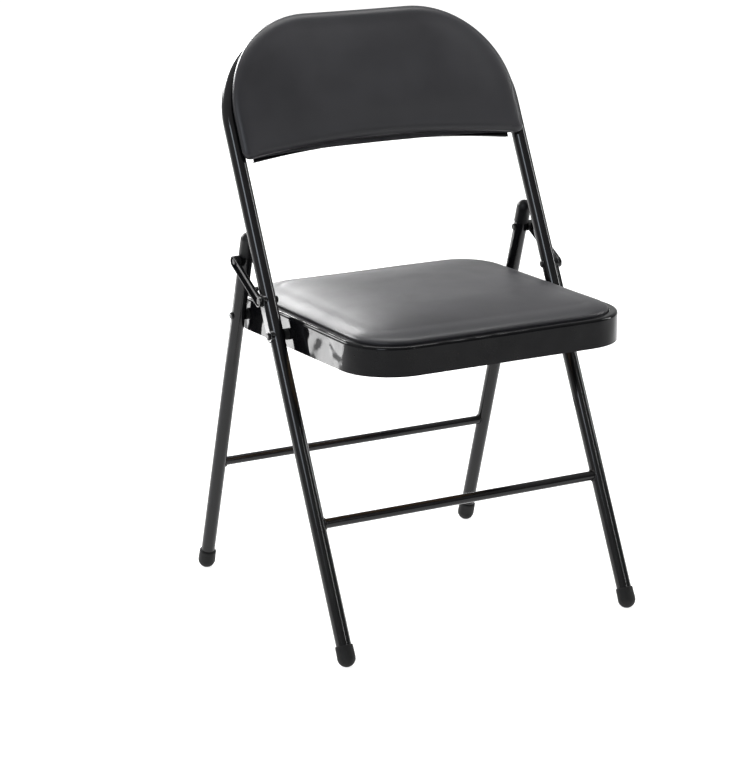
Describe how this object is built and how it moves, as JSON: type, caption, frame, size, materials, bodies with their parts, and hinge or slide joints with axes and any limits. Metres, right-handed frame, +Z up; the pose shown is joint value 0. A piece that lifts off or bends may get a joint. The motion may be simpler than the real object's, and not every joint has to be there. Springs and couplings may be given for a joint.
{
  "type": "folding chair",
  "caption": "Tubular steel folding chair with a padded seat in a pressed pan, a padded back and a linkage that folds it flat.",
  "frame": {"origin": "on the floor, at the middle of the open chair's footprint", "axes": "+Z up, -Y to the front where the sitter faces, +X to the sitter's left"},
  "size_m": [0.4634, 0.4612, 0.78],
  "materials": {
    "steel": "gloss black paint",
    "cover": "smooth black leatherette",
    "board": "raw plywood",
    "rubber": "matt black",
    "cap": "black, lightly textured",
    "nylon": "black",
    "rivet": "gloss black paint",
    "zinc": "zinc plated"
  },
  "bodies": {
    "frame": {"main_frame_tube": "steel", "front_stretcher": "steel", "back_panel": "steel", "back_board": "board", "back_pad": "cover", "back_screws": "zinc", "pivot_plate_left": "steel", "pivot_plate_right": "steel", "seat_pivot_rivet_left": "rivet", "seat_pivot_rivet_right": "rivet", "link_front_rivet_left": "rivet", "link_front_rivet_right": "rivet", "link_washer_left": "nylon", "link_washer_right": "nylon", "seat_pivot_spacer_left": "nylon", "seat_pivot_spacer_right": "nylon", "front_foot_left": "rubber", "front_foot_right": "rubber"},
    "seat": {"seat_pan": "steel", "seat_board": "board", "seat_cushion": "cover", "seat_screws": "zinc"},
    "rear_legs": {"rear_leg_left": "steel", "rear_leg_right": "steel", "rear_stretcher": "steel", "rear_foot_left": "rubber", "rear_foot_right": "rubber", "rear_leg_cap_left": "cap", "rear_leg_cap_right": "cap", "seat_rear_rivet_left": "rivet", "seat_rear_rivet_right": "rivet", "seat_rear_spacer_left": "nylon", "seat_rear_spacer_right": "nylon", "link_rear_pin_left": "rivet", "link_rear_pin_right": "rivet", "link_spacer_left": "nylon", "link_spacer_right": "nylon"},
    "links": {"link_left": "steel", "link_right": "steel", "link_rear_button_left": "rivet", "link_rear_button_right": "rivet"}
  },
  "joints": [
    {"name": "seat_fold", "type": "hinge", "parent": "frame", "child": "seat", "pos_m": [0, -0.01092, 0.39087], "axis": [-1, 0, 0], "range_deg": [0, 105.65]},
    {"name": "rear_legs_fold", "type": "hinge", "parent": "seat", "child": "rear_legs", "pos_m": [0, 0.10505, 0.39195], "axis": [1, 0, 0], "range_deg": [0, 62.75]},
    {"name": "links_turn", "type": "hinge", "parent": "frame", "child": "links", "pos_m": [0, 0.00995, 0.43309], "axis": [-1, 0, 0], "range_deg": [0, 128.46]}
  ],
  "couplings": [
    {"joint": "rear_legs_fold", "follows": "seat_fold", "ratio": 0.59382},
    {"joint": "links_turn", "follows": "seat_fold", "ratio": 1.2158}
  ]
}
